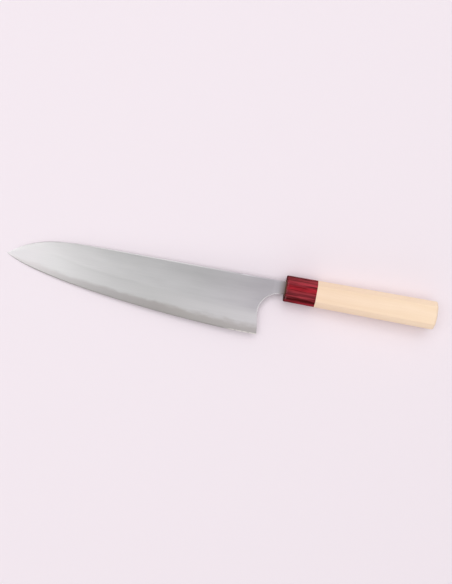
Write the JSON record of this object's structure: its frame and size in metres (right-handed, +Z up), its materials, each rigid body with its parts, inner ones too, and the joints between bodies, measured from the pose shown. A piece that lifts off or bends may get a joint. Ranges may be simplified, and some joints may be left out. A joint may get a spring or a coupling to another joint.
{
  "type": "gyuto knife",
  "caption": "Japanese chef's knife with a laminated steel blade, a curved choil and an octagonal pale wood handle with a dark red ferrule, lying on its side.",
  "frame": {"origin": "on the table the knife lies on, under the middle of the knife's box", "axes": "+X from the tip to the butt along the handle, +Y from the edge to the spine, +Z up out of the front cheek"},
  "size_m": [0.4026, 0.0602, 0.0273],
  "materials": {
    "core": "polished high-carbon steel, a little darker and warmer than the cladding",
    "cladding": "satin, fine hairlines along the blade, lighter below the grind line",
    "redwood": "dark red resin-soaked laminated wood with lengthwise black streaks, half gloss",
    "palewood": "pale cream close-grained wood, sanded smooth and oiled, nearly matt",
    "dowelwood": "plain turned wood, unfinished",
    "resin": "hard brown resin, smoothed flush"
  },
  "bodies": {
    "root": {"core_steel": "core", "front_cladding": "cladding", "back_cladding": "cladding", "ferrule": "redwood", "handle_body": "palewood", "front_dowel_half": "dowelwood", "back_dowel_half": "dowelwood", "tang_seal": "resin"}
  },
  "joints": []
}
